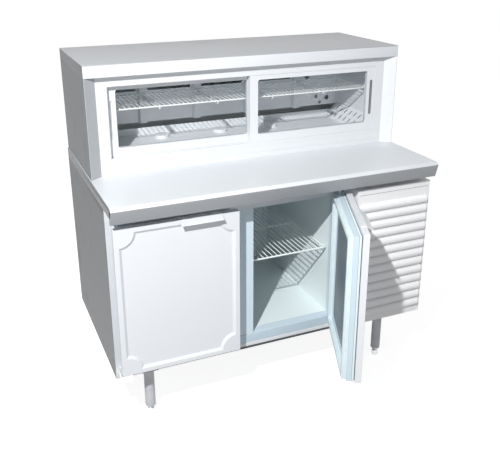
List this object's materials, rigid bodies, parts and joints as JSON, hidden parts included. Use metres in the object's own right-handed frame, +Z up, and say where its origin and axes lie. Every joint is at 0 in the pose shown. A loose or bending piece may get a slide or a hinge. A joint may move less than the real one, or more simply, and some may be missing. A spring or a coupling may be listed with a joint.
{
  "type": "refrigerated display case",
  "caption": "Chilled counter cabinet with hinged doors, a louvred machine bay and a worktop that carries a low display case with sliding glass doors.",
  "frame": {"origin": "on the floor, under the centre of the cabinet body's footprint", "axes": "+Z up, +X to the right as seen from the front, the doors face -Y"},
  "size_m": [1.3, 1.1297, 1.3435],
  "materials": {
    "panel": "satin",
    "sheet": "satin",
    "frame_plastic": "satin",
    "liner_metal": "satin",
    "liner_plastic": "satin",
    "door_liner": "satin",
    "gasket": "matte",
    "wire": "gloss",
    "bright_steel": "satin",
    "steel": "satin",
    "glass": "polished",
    "black_paint": "satin",
    "black_rubber": "matte",
    "black_plastic": "satin",
    "fins": "satin",
    "fan_plastic": "satin",
    "motor_paint": "satin",
    "box_plastic": "satin",
    "copper": "satin"
  },
  "bodies": {
    "cabinet": {"breaker_strips": "liner_plastic", "bulkhead": "panel", "cabinet_back": "panel", "cabinet_floor": "panel", "cabinet_liner": "liner_metal", "cabinet_roof": "panel", "cabinet_side_left": "panel", "cabinet_side_right": "sheet", "case_back": "panel", "case_floor": "panel", "case_frame_rails": "frame_plastic", "case_frame_stiles": "frame_plastic", "case_roof": "panel", "case_side_left": "panel", "case_side_right": "panel", "compressor": "black_paint", "compressor_mounts": "black_rubber", "condenser_coil": "fins", "condenser_fan_motor": "motor_paint", "control_box": "box_plastic", "cooler_coil": "fins", "cooler_housing": "sheet", "display_coil": "fins", "display_shelf": "wire", "door_tracks": "frame_plastic", "duct_panel": "sheet", "duct_posts": "sheet", "face_mullion": "panel", "hinge_brackets": "bright_steel", "legs": "steel", "louvre_panel": "sheet", "machine_base": "sheet", "power_inlet": "black_plastic", "rear_grille": "sheet", "refrigerant_lines": "copper", "return_cover": "sheet", "shelf_brackets": "sheet", "shelf_supports": "sheet", "wire_shelf_centre": "wire", "wire_shelf_left": "wire", "worktop": "panel"},
    "door_left": {"door_left_skin": "panel", "door_left_liner": "door_liner", "door_left_gasket": "gasket", "door_left_handle": "bright_steel"},
    "door_centre": {"door_centre_skin": "panel", "door_centre_liner": "door_liner", "door_centre_gasket": "gasket", "door_centre_handle": "bright_steel"},
    "glass_door_left": {"glass_door_left_frame": "frame_plastic", "glass_door_left_pane": "glass"},
    "glass_door_right": {"glass_door_right_frame": "frame_plastic", "glass_door_right_pane": "glass"},
    "foot_front_left": {"foot_front_left": "steel"},
    "foot_front_right": {"foot_front_right": "steel"},
    "foot_rear_left": {"foot_rear_left": "steel"},
    "foot_rear_right": {"foot_rear_right": "steel"},
    "condenser_fan": {"condenser_fan": "fan_plastic"},
    "cooler_fan": {"cooler_fan": "fan_plastic"},
    "display_fan": {"display_fan": "fan_plastic"}
  },
  "joints": [
    {"name": "door_left_hinge", "type": "hinge", "parent": "cabinet", "child": "door_left", "pos_m": [-0.6105, -0.3738, 0.5528], "axis": [0, 0, 1], "range_deg": [-90, 0]},
    {"name": "door_centre_hinge", "type": "hinge", "parent": "cabinet", "child": "door_centre", "pos_m": [0.259, -0.3738, 0.5528], "axis": [0, 0, 1], "range_deg": [-67.2, 22.8]},
    {"name": "glass_door_left_slide", "type": "slide", "parent": "cabinet", "child": "glass_door_left", "axis": [1, 0, 0], "range_m": [0, 0.53]},
    {"name": "glass_door_right_slide", "type": "slide", "parent": "cabinet", "child": "glass_door_right", "axis": [-1, 0, 0], "range_m": [0, 0.53]},
    {"name": "foot_front_left_level", "type": "slide", "parent": "cabinet", "child": "foot_front_left", "axis": [0, 0, 1], "range_m": [-0.025, 0]},
    {"name": "foot_front_right_level", "type": "slide", "parent": "cabinet", "child": "foot_front_right", "axis": [0, 0, 1], "range_m": [-0.025, 0]},
    {"name": "foot_rear_left_level", "type": "slide", "parent": "cabinet", "child": "foot_rear_left", "axis": [0, 0, 1], "range_m": [-0.025, 0]},
    {"name": "foot_rear_right_level", "type": "slide", "parent": "cabinet", "child": "foot_rear_right", "axis": [0, 0, 1], "range_m": [-0.025, 0]},
    {"name": "condenser_fan_spin", "type": "hinge", "parent": "cabinet", "child": "condenser_fan", "pos_m": [0.479, -0.15704, 0.345], "axis": [0, 1, 0], "continuous": true},
    {"name": "cooler_fan_spin", "type": "hinge", "parent": "cabinet", "child": "cooler_fan", "pos_m": [0.08, 0.09364, 0.753], "axis": [0, 1, 0], "continuous": true},
    {"name": "display_fan_spin", "type": "hinge", "parent": "cabinet", "child": "display_fan", "pos_m": [0.28, 0.24179, 1.108], "axis": [0, 1, 0], "continuous": true}
  ]
}
